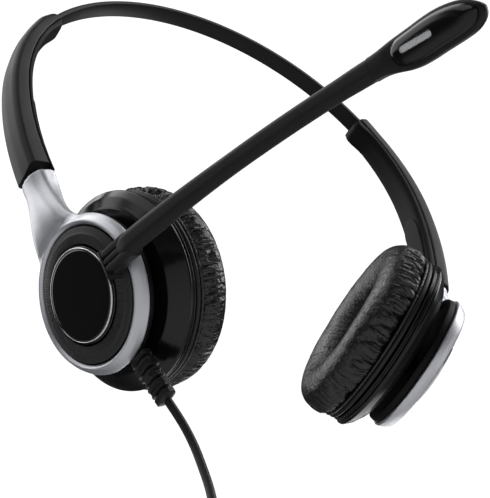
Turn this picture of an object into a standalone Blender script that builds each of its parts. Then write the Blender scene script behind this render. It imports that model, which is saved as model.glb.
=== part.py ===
"""An office headset with a boom microphone: a flexing headband, two telescoping arms that end
in rings, two cups on ball joints, and a lead wound up for storage.

The origin is the middle of the headband's underside, +Z is up and the wearer looks along -Y.
The microphone side is at -X. Sizes are in millimetres and become metres in mesh_piece().

Each side's arm is laid out pushed fully in, on the +X side, around the headband's centre. The
left one is then mirrored in X, and both turn about that centre when they slide out."""

import math

import bmesh
import bpy
from mathutils import Matrix, Vector

MM = 0.001

# Headband: a sprung strip in a sheath, bent to an arc.
BAND_RADIUS = 76.2
SHEATH_WIDTH, SHEATH_THICK = 6.0, 1.8
SPRING_WIDTH, SPRING_THICK = 4.2, 0.6
CENTRE_Z = -(BAND_RADIUS - SHEATH_THICK / 2)
FLEX_ANGLE = 25.0
FLEX_GAP = 0.45
STRIP_END = 72.0
SIDES = {"left": -1, "right": 1}
EXTENSION = {"left": 14.3, "right": 0.0}

# Arm: a sleeve over the strip, then an aluminium arm that ends in a ring.
SLEEVE_START, SLEEVE_END = 45.5, 99.0
LID_END = 78.7
LOWER_RADIUS = 115.8
LOWER_FROM = 77.0
SLEEVE_HALF_WIDTH = (4.3, 5.3)
SLEEVE_OUTER = {"left": (3.2, 4.7), "right": (3.0, 3.6)}
LID_INNER, LID_OUTER = -3.4, -1.6
SLOT_HALF_WIDTH, SLOT_OUTER, SLOT_INNER = 3.3, 1.2, -1.3
TENON_START = 88.0
ARM_THICK = 4.1
ARM_REACH = 21.5
ARM_HALF_WIDTHS = (5.4, 5.6, 6.0, 6.7, 7.8, 9.4)
ARM_SWELL = {"left": 1.1, "right": 0.4}
LINER_DROP = 3.55
LINER_HALF_THICK = 0.9
LINER_STATIONS = (0.2, 0.4, 0.6, 0.8, 0.88)

# Ring and cup. w runs out of the wearer's head along the cup's axis, from the ring's front.
# The ring's centre is given as a distance and an angle about the headband's centre. CUP_TURN is
# how far each cup has turned on its ball from facing its ring squarely.
RING_PLACE = {"left": (100.3, 135.4), "right": (93.6, 132.3)}
RING_TILT = {"left": 18.2, "right": 21.2}
CUP_TURN = {"left": 0.0, "right": -2.0}
CUP_BACK = 1.3
RING_FRONT, RING_BACK = 22.6, 23.5
RING_BORE, RING_DEPTH = 20.3, 4.0
BALL_W, BALL_RADIUS = -9.6, 3.6
TURN_STEPS = 24
FINE_STEPS = 32

# Boom: an arc that starts beside the cap and dips towards the mouth.
BOOM_START = (22.0, -5.0)
BOOM_W = 5.6
BOOM_HEADING, BOOM_BEND = -14.0, -10.0
BOOM_LENGTH = 144.0
BOOM_SPLIT, BOOM_SPLIT_GAP = 52.0, 1.2
BOOM_HALF_WIDTHS, BOOM_HALF_THICK = (3.3, 2.9, 2.8), 2.1
MIC_START = 115.5
MIC_HALF_WIDTH = 5.2

# Lead: 1 m from the strain relief to the plug.
CORD_RADIUS = 1.3
RELIEF_W, RELIEF_TOP, RELIEF_TIP = -5.6, -23.3, -41.0
RELIEF_FLATNESS = 0.62
COIL_CENTRE = (6.35, -264.0)
COIL_MEAN_RADIUS, COIL_PITCH, COIL_LAYERS, COIL_COLUMNS = 15.5, 2.65, 3, 3
CORD_ROUTE = (
    (-23.64, -193.93), (-21.35, -197.1), (-18.75, -201.4), (-16.2, -207.0), (-14.2, -213.6),
    (-12.6, -220.6), (-11.8, -228.0), (-11.6, -236.0), (-11.7, -245.0), (-11.8, -253.9),
)
TAIL_Y = 6.9
TAIL_LENGTH = 38.0
PLUG_LENGTH = 34.0

MATERIALS = {
    "black_plastic": ((0.012, 0.012, 0.013), 0.45, 0.0),
    "soft_black": ((0.010, 0.010, 0.011), 0.62, 0.0),
    "gloss_black": ((0.004, 0.004, 0.005), 0.08, 0.0),
    "aluminium": ((0.60, 0.62, 0.66), 0.32, 1.0),
    "chrome": ((0.80, 0.81, 0.83), 0.10, 1.0),
    "steel": ((0.45, 0.45, 0.46), 0.35, 1.0),
    "leatherette": ((0.012, 0.012, 0.013), 0.42, 0.0),
    "cloth": ((0.02, 0.02, 0.022), 0.95, 0.0),
    "magnet": ((0.20, 0.20, 0.21), 0.40, 1.0),
    "film": ((0.35, 0.30, 0.20), 0.30, 0.0),
    "rubber": ((0.012, 0.012, 0.013), 0.65, 0.0),
    "grille": ((0.45, 0.46, 0.50), 0.35, 1.0),
    "brass": ((0.60, 0.45, 0.20), 0.30, 1.0),
}


def clear_scene():
    for obj in list(bpy.data.objects):
        bpy.data.objects.remove(obj, do_unlink=True)


def make_material(name):
    colour, roughness, metallic = MATERIALS[name]
    made = bpy.data.materials.get(name)
    if made is None:
        made = bpy.data.materials.new(name)
        made.use_nodes = True
        shader = made.node_tree.nodes["Principled BSDF"]
        shader.inputs["Base Color"].default_value = (*colour, 1.0)
        shader.inputs["Roughness"].default_value = roughness
        shader.inputs["Metallic"].default_value = metallic
    return made


def mesh_piece(name, loops, parent, material, ring=False, offset=(0, 0, 0), smooth=True):
    """One closed solid: loops of points joined one to the next.

    ring joins the last loop to the first. Otherwise the first and last are capped. A loop of
    one point is a pole."""
    bm = bmesh.new()
    rows = [[bm.verts.new(Vector(p) * MM) for p in loop] for loop in loops]
    pairs = list(zip(rows, rows[1:]))
    if ring:
        pairs.append((rows[-1], rows[0]))
    for low, high in pairs:
        count = max(len(low), len(high))
        for i in range(count):
            j = (i + 1) % count
            corners = [low[i % len(low)], low[j % len(low)], high[j % len(high)], high[i % len(high)]]
            unique = list(dict.fromkeys(corners))
            if len(unique) > 2:
                bm.faces.new(unique)
    if not ring:
        for row in (rows[0], rows[-1]):
            if len(row) > 2:
                bm.faces.new(row)
    bmesh.ops.recalc_face_normals(bm, faces=bm.faces)
    mesh = bpy.data.meshes.new(name)
    bm.to_mesh(mesh)
    bm.free()
    if smooth:
        mesh.shade_smooth()
        mesh.set_sharp_from_angle(angle=math.radians(35))
    mesh.materials.append(make_material(material))
    obj = bpy.data.objects.new(name, mesh)
    bpy.context.collection.objects.link(obj)
    obj.parent = parent
    obj.location = Vector(offset) * MM
    return obj


def make_empty(name, matrix, parent=None):
    empty = bpy.data.objects.new(name, None)
    bpy.context.collection.objects.link(empty)
    empty.empty_display_size = 0.01
    empty.parent = parent
    empty.matrix_local = matrix
    return empty


def moved(x, y, z):
    return Matrix.Translation(Vector((x, y, z)) * MM)


def turned(name, profile, parent, material, steps=TURN_STEPS, offset=(0, 0, 0)):
    """A solid turned about local Z. profile is a closed outline of (radius, w) points."""
    loops = []
    for radius, w in profile:
        if radius == 0:
            loops.append([(0, 0, w)])
            continue
        angles = [2 * math.pi * i / steps for i in range(steps)]
        loops.append([(radius * math.cos(a), radius * math.sin(a), w) for a in angles])
    on_axis = profile[0][0] == 0 and profile[-1][0] == 0
    return mesh_piece(name, loops, parent, material, ring=not on_axis, offset=offset)


def hide_tool(tool):
    tool.hide_render = True
    tool.display_type = "WIRE"


def add_union(obj, tool):
    join = obj.modifiers.new("join", "BOOLEAN")
    join.operation = "UNION"
    join.object = tool
    hide_tool(tool)


def blend(a, b, t):
    return a + (b - a) * t


def chamfered(low, high, half, cut):
    """A rectangle of (off, y) points with its corners cut off."""
    return (
        (low + cut, -half), (high - cut, -half), (high, -half + cut), (high, half - cut),
        (high - cut, half), (low + cut, half), (low, half - cut), (low, -half + cut),
    )


# ---- headband ----


def arch_frame(angle):
    """Point and outward normal, as (x, z), of the arm's centreline around the band's centre."""
    a = math.radians(angle)
    normal = Vector((math.sin(a), math.cos(a)))
    if angle <= LOWER_FROM:
        return normal * BAND_RADIUS, normal
    start = math.radians(LOWER_FROM)
    bend = Vector((math.sin(start), math.cos(start))) * (BAND_RADIUS - LOWER_RADIUS)
    return bend + normal * LOWER_RADIUS, normal


def section_at(point, normal, section, side):
    """The section's (off, y) points placed at a station of the sweep."""
    placed = []
    for off, y in section:
        spot = point + normal * off
        placed.append((side * spot.x, y, spot.y))
    return placed


def arc_sweep(start, end, steps, section, side):
    """Stations along the arch. section is a function of t, from 0 to 1."""
    loops = []
    for i in range(steps + 1):
        t = i / steps
        point, normal = arch_frame(blend(start, end, t))
        loops.append(section_at(point, normal, section(t), side))
    return loops


def strip_section(width, thick, cut):
    return chamfered(-thick / 2, thick / 2, width / 2, cut)


def sheath(name, start, end, steps, side, parent, offset):
    """The strip's plastic sheath: a flat tube, open at both ends."""
    outer = strip_section(SHEATH_WIDTH, SHEATH_THICK, 0.35)
    inner = strip_section(SPRING_WIDTH + 0.6, SPRING_THICK + 0.6, 0.1)
    out_loops = arc_sweep(start, end, steps, lambda t: outer, side)
    in_loops = arc_sweep(start, end, steps, lambda t: inner, side)
    loops = out_loops + in_loops[::-1]
    return mesh_piece(name, loops, parent, "soft_black", ring=True, offset=offset)


def spring(name, start, end, steps, side, parent, offset):
    section = strip_section(SPRING_WIDTH, SPRING_THICK, 0.1)
    loops = arc_sweep(start, end, steps, lambda t: section, side)
    return mesh_piece(name, loops, parent, "steel", offset=offset)


def build_crown():
    edge = FLEX_ANGLE - FLEX_GAP
    crown = make_empty("crown", moved(0, 0, CENTRE_Z))
    sheath("crown_sheath", -edge, edge, 12, 1, crown, (0, 0, 0))
    spring("crown_spring", -edge, edge, 12, 1, crown, (0, 0, 0))


def build_band(word, side):
    """The strip from the flexing point down into the sleeve, with the stop on its end."""
    hinge, _ = arch_frame(FLEX_ANGLE)
    flex = make_empty(word + "_flex", moved(side * hinge.x, 0, CENTRE_Z + hinge.y))
    offset = (-side * hinge.x, 0, -hinge.y)
    start = FLEX_ANGLE + FLEX_GAP
    sheath(word + "_band_sheath", start, STRIP_END, 9, side, flex, offset)
    spring(word + "_band_spring", start, STRIP_END, 9, side, flex, offset)
    stop = chamfered(-1.0, 0.9, 3.0, 0.3)
    loops = arc_sweep(STRIP_END + 0.3, STRIP_END + 2.6, 1, lambda t: stop, side)
    mesh_piece(word + "_slider_stop", loops, flex, "black_plastic", offset=offset)


# ---- arm ----


def sleeve_section(word, t):
    """A channel, open on its inner side, that grows towards its lower end."""
    half = blend(*SLEEVE_HALF_WIDTH, t)
    top = blend(*SLEEVE_OUTER[word], t)
    return (
        (SLOT_INNER, -half), (top - 1.5, -half), (top - 0.4, -half + 0.9), (top, -half + 2.2),
        (top, half - 2.2), (top - 0.4, half - 0.9), (top - 1.5, half), (SLOT_INNER, half),
        (SLOT_INNER, SLOT_HALF_WIDTH), (SLOT_OUTER, SLOT_HALF_WIDTH),
        (SLOT_OUTER, -SLOT_HALF_WIDTH), (SLOT_INNER, -SLOT_HALF_WIDTH),
    )


def lid_section(t):
    half = blend(*SLEEVE_HALF_WIDTH, t)
    return (
        (LID_OUTER, -half), (LID_OUTER, half), (LID_INNER + 0.7, half), (LID_INNER, half - 1.0),
        (LID_INNER, -half + 1.0), (LID_INNER + 0.7, -half),
    )


def ring_frame(word):
    """The ring's centre, its up direction and its outward axis, as (x, z), in the arm's frame."""
    distance, angle = RING_PLACE[word]
    a, tilt = math.radians(angle), math.radians(RING_TILT[word])
    centre = Vector((math.sin(a), math.cos(a))) * distance
    up = Vector((math.sin(tilt), math.cos(tilt)))
    axis = Vector((math.cos(tilt), -math.sin(tilt)))
    return centre, up, axis


def arm_station(word, t):
    """Centre and normal of the aluminium arm, from the sleeve's end (t=0) to the ring (t=1)."""
    start, first_normal = arch_frame(SLEEVE_END + 0.4)
    start = start + first_normal * (ARM_THICK / 2 - 1.0)
    centre, up, axis = ring_frame(word)
    end = centre + up * ARM_REACH - axis * (RING_DEPTH / 2)
    down = Vector((first_normal.y, -first_normal.x))
    span = (end - start).length
    h = (2 * t**3 - 3 * t**2 + 1, t**3 - 2 * t**2 + t, -2 * t**3 + 3 * t**2, t**3 - t**2)
    point = start * h[0] + down * span * h[1] + end * h[2] - up * span * h[3]
    normal = (first_normal * (1 - t) + axis * t).normalized()
    return point, normal


def build_yoke(word, side, arm):
    """The aluminium arm and its ring in one piece, with a tenon inside the sleeve."""
    tenon = chamfered(-1.0, 0.9, 3.0, 0.2)
    loops = arc_sweep(TENON_START, SLEEVE_END + 0.35, 3, lambda t: tenon, side)
    last = len(ARM_HALF_WIDTHS) - 1
    for i, half in enumerate(ARM_HALF_WIDTHS):
        point, normal = arm_station(word, i / last)
        high = ARM_THICK / 2 - 0.1 + ARM_SWELL[word] * (1 - i / last) ** 1.5
        flat = chamfered(-ARM_THICK / 2, high, half, 0.8)
        section = [(off, y + CUP_BACK * i / last) for off, y in flat]
        loops.append(section_at(point, normal, section, side))
    yoke = mesh_piece(word + "_yoke", loops, arm, "aluminium")
    cup = bpy.data.objects[word + "_cup_axis"]
    profile = (
        (RING_BORE, -0.2), (RING_BORE + 0.3, 0.0), (RING_FRONT - 0.5, 0.0), (RING_FRONT, -0.4),
        (RING_BACK, -RING_DEPTH), (RING_BORE, -RING_DEPTH),
    )
    ring = turned(word + "_ring_tool", profile, cup, "aluminium", FINE_STEPS)
    add_union(yoke, ring)


def build_liner(word, side, arm):
    """The black inner face of the arm, let into the sleeve's lid."""
    section = (
        (LINER_HALF_THICK, -4.5), (LINER_HALF_THICK, 4.5), (-0.2, 4.5), (-LINER_HALF_THICK, 3.6),
        (-LINER_HALF_THICK, -3.6), (-0.2, -4.5),
    )
    middle = (LID_INNER + LID_OUTER) / 2
    first = [(off + middle, y) for off, y in section]
    loops = arc_sweep(LID_END + 0.4, SLEEVE_END, 5, lambda t: first, side)
    for t in LINER_STATIONS:
        point, normal = arm_station(word, t)
        dropped = [
            (off - LINER_DROP, y * blend(1.0, 1.3, t) + CUP_BACK * t) for off, y in section
        ]
        loops.append(section_at(point, normal, dropped, side))
    mesh_piece(word + "_arm_liner", loops, arm, "black_plastic")


def build_arm(word, side):
    slide = Matrix.Rotation(math.radians(side * EXTENSION[word]), 4, "Y")
    arm = make_empty(word + "_slide", moved(0, 0, CENTRE_Z) @ slide)
    centre, up, axis = ring_frame(word)
    turn = Matrix((
        (0, side * up.x, side * axis.x),
        (side, 0, 0),
        (0, up.y, axis.y),
    )).to_4x4()
    make_empty(word + "_cup_axis", moved(side * centre.x, CUP_BACK, centre.y) @ turn, arm)
    sleeve = arc_sweep(SLEEVE_START, SLEEVE_END, 10, lambda t: sleeve_section(word, t), side)
    mesh_piece(word + "_sleeve_outer", sleeve, arm, "soft_black")
    lid_share = (LID_END - SLEEVE_START) / (SLEEVE_END - SLEEVE_START)
    lid = arc_sweep(SLEEVE_START, LID_END, 6, lambda t: lid_section(t * lid_share), side)
    mesh_piece(word + "_sleeve_inner", lid, arm, "soft_black")
    build_yoke(word, side, arm)
    build_liner(word, side, arm)


# ---- hub ----

CAP = ((0, 1.9), (12.8, 1.9), (13.3, 1.5), (13.3, -1.5), (12.2, -1.5), (12.2, -0.2), (0, -0.2))
CAP_TRIM = ((13.6, 1.6), (13.9, 1.8), (14.2, 1.6), (14.2, -1.5), (13.6, -1.5))
HUB_RING = ((14.5, 0.5), (17.2, 0.8), (19.4, 0.4), (19.9, -0.2), (19.9, -0.9), (14.5, -0.9))
WASHER = ((15.0, -1.2), (19.5, -1.2), (19.5, -1.7), (15.0, -1.7))
HUB_HOUSING = (
    (2.3, -2.1), (19.9, -2.1), (19.9, -4.4), (22.9, -4.4), (22.5, -7.4), (20.9, -7.4),
    (20.6, -5.6), (5.0, -5.6), (4.6, -6.4), (2.3, -6.4),
)


def stud_profile():
    """A turned pin with a ball on its inner end."""
    neck = 1.9
    reach = math.sqrt(BALL_RADIUS**2 - neck**2)
    points = [(0, -1.2), (3.4, -1.2), (3.4, -1.8), (neck, -1.8), (neck, BALL_W + reach)]
    first = math.atan2(neck, reach)
    for i in range(1, 7):
        a = blend(first, math.pi, i / 6)
        radius = BALL_RADIUS * math.sin(a) if i < 6 else 0
        points.append((radius, BALL_W + BALL_RADIUS * math.cos(a)))
    return points


def socket_profile():
    """The ball's socket, a ring that is hollow to the ball's shape."""
    hollow = BALL_RADIUS + 0.3
    points = [(6.6, BALL_W - 2.2), (6.6, BALL_W + 1.5)]
    for i in range(5):
        w = blend(1.5, -2.2, i / 4)
        points.append((math.sqrt(hollow**2 - w**2), BALL_W + w))
    return points


def build_hub(word):
    cup = bpy.data.objects[word + "_cup_axis"]
    turned(word + "_cap", CAP, cup, "gloss_black", FINE_STEPS)
    turned(word + "_cap_trim", CAP_TRIM, cup, "chrome", FINE_STEPS)
    turned(word + "_hub_housing", HUB_HOUSING, cup, "black_plastic")
    turned(word + "_ball_stud", stud_profile(), cup, "steel", 16)


# ---- cup ----

SHELL = (
    (7.0, -9.5), (16.0, -9.9), (24.8, -10.6), (29.3, -13.7), (29.4, -15.2), (28.3, -16.6),
    (26.9, -16.6), (26.9, -15.0), (23.6, -12.2), (15.0, -11.5), (7.0, -11.1),
)
MAGNET = ((0, -13.6), (8.4, -13.6), (8.9, -14.1), (8.9, -17.9), (0, -17.9))
DRIVER_FRAME = ((9.2, -15.9), (13.8, -15.9), (15.2, -16.8), (15.2, -17.9), (9.2, -17.9))
DIAPHRAGM = ((0, -18.2), (14.8, -18.2), (14.8, -18.4), (0, -18.4))
BAFFLE = ((15.5, -16.9), (26.1, -16.9), (26.1, -18.4), (15.5, -18.4))
PAD_CLOTH = ((0, -18.7), (26.1, -18.7), (26.1, -19.0), (0, -19.0))
CUSHION_RING = ((26.5, -16.9), (28.2, -16.9), (28.8, -17.6), (28.5, -18.7), (26.5, -19.0))
CUSHION = (
    (27.4, -19.3), (28.9, -21.6), (29.3, -24.8), (28.6, -28.3), (26.0, -30.4), (22.0, -31.1),
    (17.0, -30.3), (13.4, -27.4), (12.2, -23.6), (12.8, -19.3),
)


def build_cup(word):
    """The pieces that tilt and swivel on the ball."""
    cup = bpy.data.objects[word + "_cup_axis"]
    turn = Matrix.Rotation(math.radians(CUP_TURN[word]), 4, "X")
    ball = make_empty(word + "_ball_centre", moved(0, 0, BALL_W) @ turn, cup)
    back = (0, 0, -BALL_W)
    turned(word + "_ball_socket", socket_profile(), ball, "black_plastic", 20, back)
    turned(word + "_cup_shell", SHELL, ball, "black_plastic", FINE_STEPS, back)
    turned(word + "_driver_magnet", MAGNET, ball, "magnet", 20, back)
    turned(word + "_driver_frame", DRIVER_FRAME, ball, "black_plastic", 24, back)
    turned(word + "_driver_diaphragm", DIAPHRAGM, ball, "film", 24, back)
    turned(word + "_baffle", BAFFLE, ball, "black_plastic", TURN_STEPS, back)
    turned(word + "_pad_cloth", PAD_CLOTH, ball, "cloth", TURN_STEPS, back)
    turned(word + "_cushion_ring", CUSHION_RING, ball, "black_plastic", TURN_STEPS, back)
    turned(word + "_cushion", CUSHION, ball, "leatherette", TURN_STEPS, back)


# ---- boom ----


def boom_station(s):
    """Point and heading of the boom's centreline, s along it, in the left cup's frame."""
    bend = math.radians(BOOM_BEND) / BOOM_LENGTH
    first = math.radians(BOOM_HEADING)
    heading = first + bend * s
    x = BOOM_START[0] + (math.sin(heading) - math.sin(first)) / bend
    y = BOOM_START[1] - (math.cos(heading) - math.cos(first)) / bend
    return Vector((x, y, BOOM_W)), heading


def boom_loops(start, end, steps, shape):
    """Loops across the boom. shape is a function of t that gives (across, w) points."""
    loops = []
    for i in range(steps + 1):
        t = i / steps
        point, heading = boom_station(blend(start, end, t))
        across = Vector((-math.sin(heading), math.cos(heading), 0))
        loops.append([point + across * u + Vector((0, 0, w)) for u, w in shape(t)])
    return loops


def oval(half_width, half_thick, sides=10):
    angles = [2 * math.pi * i / sides for i in range(sides)]
    return [(half_width * math.cos(a), half_thick * math.sin(a)) for a in angles]


def build_boom_base():
    """The turning ring around the cap, its root block and the boom's first half."""
    cup = bpy.data.objects["left_cup_axis"]
    turned("boom_ring", HUB_RING, cup, "black_plastic", FINE_STEPS)
    turned("boom_washer", WASHER, cup, "steel", 24)
    mesh_piece("boom_root", root_block_loops(), cup, "soft_black")
    loops = boom_loops(7.6, BOOM_SPLIT - BOOM_SPLIT_GAP / 2, 5,
                       lambda t: oval(blend(*BOOM_HALF_WIDTHS[:2], t), BOOM_HALF_THICK))
    mesh_piece("boom_lower", loops, cup, "soft_black")


def root_block_loops():
    """The block that joins the boom to its ring, narrower where the boom leaves it."""

    def shape(t):
        half = blend(4.3, 3.4, t)
        low = blend(1.2, 2.6, t) - BOOM_W
        high = blend(2.0, 2.4, t)
        corners = chamfered(low, high, half, 0.9)
        return [(y, off) for off, y in corners]

    return boom_loops(-5.0, 7.3, 4, shape)


# ---- microphone ----


def rounded_outline(start, end, half_start, half_end, sides=6):
    """An outline around the boom's line from start to end, round at both ends.

    Points are (s, across). The half widths may differ, for a shape that tapers."""
    points = []
    for i in range(sides + 1):
        a = math.pi / 2 + math.pi * i / sides
        points.append((start + half_start * (1 + math.cos(a)), half_start * math.sin(a)))
    for i in range(sides + 1):
        a = -math.pi / 2 + math.pi * i / sides
        points.append((end - half_end * (1 - math.cos(a)), half_end * math.sin(a)))
    return points


def raised(outline, w):
    """The outline laid along the boom's line at height w over its middle."""
    loop = []
    for s, across in outline:
        point, heading = boom_station(s)
        side = Vector((-math.sin(heading), math.cos(heading), 0))
        loop.append(point + side * across + Vector((0, 0, w)))
    return loop


def build_boom_tip():
    """The boom's second half and the microphone's head. Its origin is the bending point."""
    cup = bpy.data.objects["left_cup_axis"]
    bend, _ = boom_station(BOOM_SPLIT)
    tip = make_empty("boom_bend", moved(*bend), cup)
    back = tuple(-bend)
    loops = boom_loops(BOOM_SPLIT + BOOM_SPLIT_GAP / 2, MIC_START - 0.3, 6,
                       lambda t: oval(blend(*BOOM_HALF_WIDTHS[1:], t), BOOM_HALF_THICK))
    mesh_piece("boom_upper", loops, tip, "soft_black", offset=back)
    outer = rounded_outline(MIC_START, BOOM_LENGTH + 0.8, 5.1, MIC_HALF_WIDTH)
    base = rounded_outline(MIC_START + 2.0, BOOM_LENGTH - 1.2, 3.7, MIC_HALF_WIDTH - 1.8)
    inner = rounded_outline(MIC_START + 1.2, BOOM_LENGTH - 0.4, 3.9, MIC_HALF_WIDTH - 1.2)
    tub = [raised(base, -3.9), raised(outer, -1.9), raised(outer, 1.0),
           raised(inner, 1.0), raised(inner, -2.4)]
    mesh_piece("mic_housing", tub, tip, "soft_black", offset=back)
    slot = rounded_outline(MIC_START + 3.8, MIC_START + 14.6, 1.0, 1.0)
    rim = rounded_outline(MIC_START + 0.7, BOOM_LENGTH + 0.1, 4.5, MIC_HALF_WIDTH - 0.7)
    face = rounded_outline(MIC_START + 1.9, BOOM_LENGTH - 1.1, 3.4, MIC_HALF_WIDTH - 1.8)
    cover = [raised(rim, 1.3), raised(rim, 2.0), raised(face, 3.3), raised(slot, 3.3),
             raised(slot, 1.3)]
    mesh_piece("mic_cover", cover, tip, "gloss_black", ring=True, offset=back)
    bar = rounded_outline(MIC_START + 4.1, MIC_START + 14.3, 0.7, 0.7)
    mesh_piece("mic_grille", [raised(bar, 1.6), raised(bar, 2.9)], tip, "grille", offset=back)
    capsule = rounded_outline(MIC_START + 6.2, MIC_START + 11.2, 2.5, 2.5, 8)
    loops = [raised(capsule, -1.9), raised(capsule, 0.5)]
    mesh_piece("mic_capsule", loops, tip, "steel", offset=back)


# ---- lead ----


def smooth_route(points, spacing):
    """Points about spacing apart on a Catmull-Rom curve through the route."""
    route = [Vector(p) for p in points]
    ends = [route[0] * 2 - route[1]] + route + [route[-1] * 2 - route[-2]]
    fine = []
    for a, b, c, d in zip(ends, ends[1:], ends[2:], ends[3:]):
        steps = max(1, round((c - b).length / spacing))
        for i in range(steps):
            t = i / steps
            fine.append((b * 2 + (c - a) * t + (a * 2 - b * 5 + c * 4 - d) * t**2
                         + (b * 3 - a - c * 3 + d) * t**3) / 2)
    return fine + [route[-1]]


def tube(name, points, arm):
    """A round cord along the points, which are world positions in millimetres."""
    curve = bpy.data.curves.new(name, "CURVE")
    curve.dimensions = "3D"
    curve.bevel_depth = CORD_RADIUS * MM
    curve.bevel_resolution = 2
    curve.use_fill_caps = True
    spline = curve.splines.new("POLY")
    spline.points.add(len(points) - 1)
    for spot, point in zip(spline.points, points):
        spot.co = (*(Vector(point) * MM), 1.0)
    curve.materials.append(make_material("rubber"))
    obj = bpy.data.objects.new(name, curve)
    bpy.context.collection.objects.link(obj)
    obj.parent = arm
    obj.matrix_parent_inverse = arm.matrix_world.inverted()
    return obj


def world_solid(name, loops, arm, material, ring=False):
    obj = mesh_piece(name, loops, arm, material, ring)
    obj.matrix_parent_inverse = arm.matrix_world.inverted()
    return obj


def build_relief():
    """The ribbed sleeve that the lead leaves the hub by, pointing down from the ring."""
    cup = bpy.data.objects["left_cup_axis"]
    profile = [(2.2, RELIEF_TOP), (2.2, RELIEF_TOP - 0.6), (4.1, RELIEF_TOP - 0.7),
               (4.1, RELIEF_TOP - 2.4)]
    ribs = 4
    for i in range(ribs):
        high = RELIEF_TOP - 2.6 - 3.7 * i
        radius = 4.0 - 0.2 * i
        profile += [(2.2, high), (radius, high - 0.3), (radius - 0.1, high - 3.1)]
    profile.append((1.7, RELIEF_TIP))
    loops = []
    for radius, y in profile:
        angles = [2 * math.pi * i / 14 for i in range(14)]
        loops.append([
            (radius * math.cos(a), y, RELIEF_W + radius * RELIEF_FLATNESS * math.sin(a))
            for a in angles
        ])
    mesh_piece("strain_relief", loops, cup, "rubber")


def coil_ring(half_width, inner, outer, steps):
    """Loops of a turned ring about the coil's axis, which runs along Y."""
    corners = ((inner, -half_width), (outer, -half_width), (outer, half_width), (inner, half_width))
    loops = []
    for radius, y in corners:
        angles = [2 * math.pi * i / steps for i in range(steps)]
        loops.append([
            (COIL_CENTRE[0] + radius * math.cos(a), CUP_BACK + y,
             COIL_CENTRE[1] + radius * math.sin(a))
            for a in angles
        ])
    return loops


def tie_loops(half_width, inner, outer, reach):
    """A flat band closed round the coil's bundle at its right side."""
    loops = []
    for z in (-reach, reach):
        for grow in ((0, 1) if z < 0 else (1, 0)):
            low, high = inner - grow, outer + grow
            y = half_width + grow
            corners = ((low, -y), (high, -y), (high, y), (low, y))
            loops.append([
                (COIL_CENTRE[0] + x, CUP_BACK + v, COIL_CENTRE[1] + z) for x, v in corners
            ])
    return loops


def build_lead():
    arm = bpy.data.objects["left_slide"]
    build_relief()
    route = [(x, CUP_BACK, z) for x, z in CORD_ROUTE]
    tube("cord", smooth_route(route, 6.0), arm)
    spread = COIL_PITCH * (COIL_LAYERS - 1) / 2 + CORD_RADIUS
    inner, outer = COIL_MEAN_RADIUS - spread, COIL_MEAN_RADIUS + spread
    half_width = COIL_PITCH * (COIL_COLUMNS - 1) / 2 + CORD_RADIUS
    world_solid("cord_coil", coil_ring(half_width, inner, outer, 28), arm, "rubber", True)
    tie = tie_loops(half_width + 0.4, inner - 0.7, outer + 0.9, 3.0)
    world_solid("cord_tie", tie, arm, "cloth", True)
    tail_x = COIL_CENTRE[0] - COIL_MEAN_RADIUS + COIL_PITCH
    tail_low = COIL_CENTRE[1] - TAIL_LENGTH
    route = ((tail_x, TAIL_Y, COIL_CENTRE[1]), (tail_x, TAIL_Y, tail_low))
    tube("cord_tail", smooth_route(route, 7.0), arm)
    build_plug(arm, tail_x, tail_low - 0.3)


def build_plug(arm, x, top):
    """The quick-disconnect plug, with a flat front face below and its contact block."""

    def box(half_x, half_y, cut, z):
        return [(x + u, TAIL_Y + v, z) for u, v in chamfered(-half_x, half_x, half_y, cut)]

    low = top - PLUG_LENGTH
    body = [box(1.9, 1.9, 0.8, top), box(2.6, 2.4, 0.9, top - 8), box(6.2, 3.8, 1.2, top - 12),
            box(6.6, 4.0, 1.2, low + 4), box(6.0, 3.7, 1.0, low)]
    world_solid("plug_body", body, arm, "black_plastic")
    contact = [box(3.6, 1.8, 0.5, low - 0.3), box(3.6, 1.8, 0.5, low - 4.5)]
    world_solid("plug_contacts", contact, arm, "brass")


def build():
    clear_scene()
    build_crown()
    for word, side in SIDES.items():
        build_band(word, side)
        build_arm(word, side)
        build_hub(word)
        build_cup(word)
    turned("right_hub_ring", HUB_RING, bpy.data.objects["right_cup_axis"], "black_plastic", FINE_STEPS)
    build_boom_base()
    build_boom_tip()
    bpy.context.view_layer.update()
    build_lead()


build()
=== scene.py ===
"""The looks of the office headset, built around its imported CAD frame.

Lengths in the tables are in millimetres and become metres in solid(). A cup's own frame has X
towards one edge, Y up and Z out of the wearer's head, with its origin at the ring's front."""

import math

import bmesh
import bpy
from mathutils import Matrix, Vector, noise


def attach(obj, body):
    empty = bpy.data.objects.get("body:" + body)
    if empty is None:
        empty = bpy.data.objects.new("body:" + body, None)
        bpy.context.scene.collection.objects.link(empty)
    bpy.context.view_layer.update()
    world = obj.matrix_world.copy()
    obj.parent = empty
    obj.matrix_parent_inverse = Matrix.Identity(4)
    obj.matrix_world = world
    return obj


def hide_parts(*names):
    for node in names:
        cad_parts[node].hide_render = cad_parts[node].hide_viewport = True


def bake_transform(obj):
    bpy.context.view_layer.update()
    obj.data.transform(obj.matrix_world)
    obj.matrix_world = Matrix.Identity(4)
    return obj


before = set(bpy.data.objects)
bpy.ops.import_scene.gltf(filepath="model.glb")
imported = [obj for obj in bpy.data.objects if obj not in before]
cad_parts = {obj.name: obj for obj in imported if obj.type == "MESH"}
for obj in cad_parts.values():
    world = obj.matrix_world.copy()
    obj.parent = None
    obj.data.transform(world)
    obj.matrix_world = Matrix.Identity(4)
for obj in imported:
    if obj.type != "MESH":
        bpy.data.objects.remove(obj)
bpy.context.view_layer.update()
MM = 0.001
SIDES = {"left": -1, "right": 1}

# ---- camera, lights and floor ----

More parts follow.
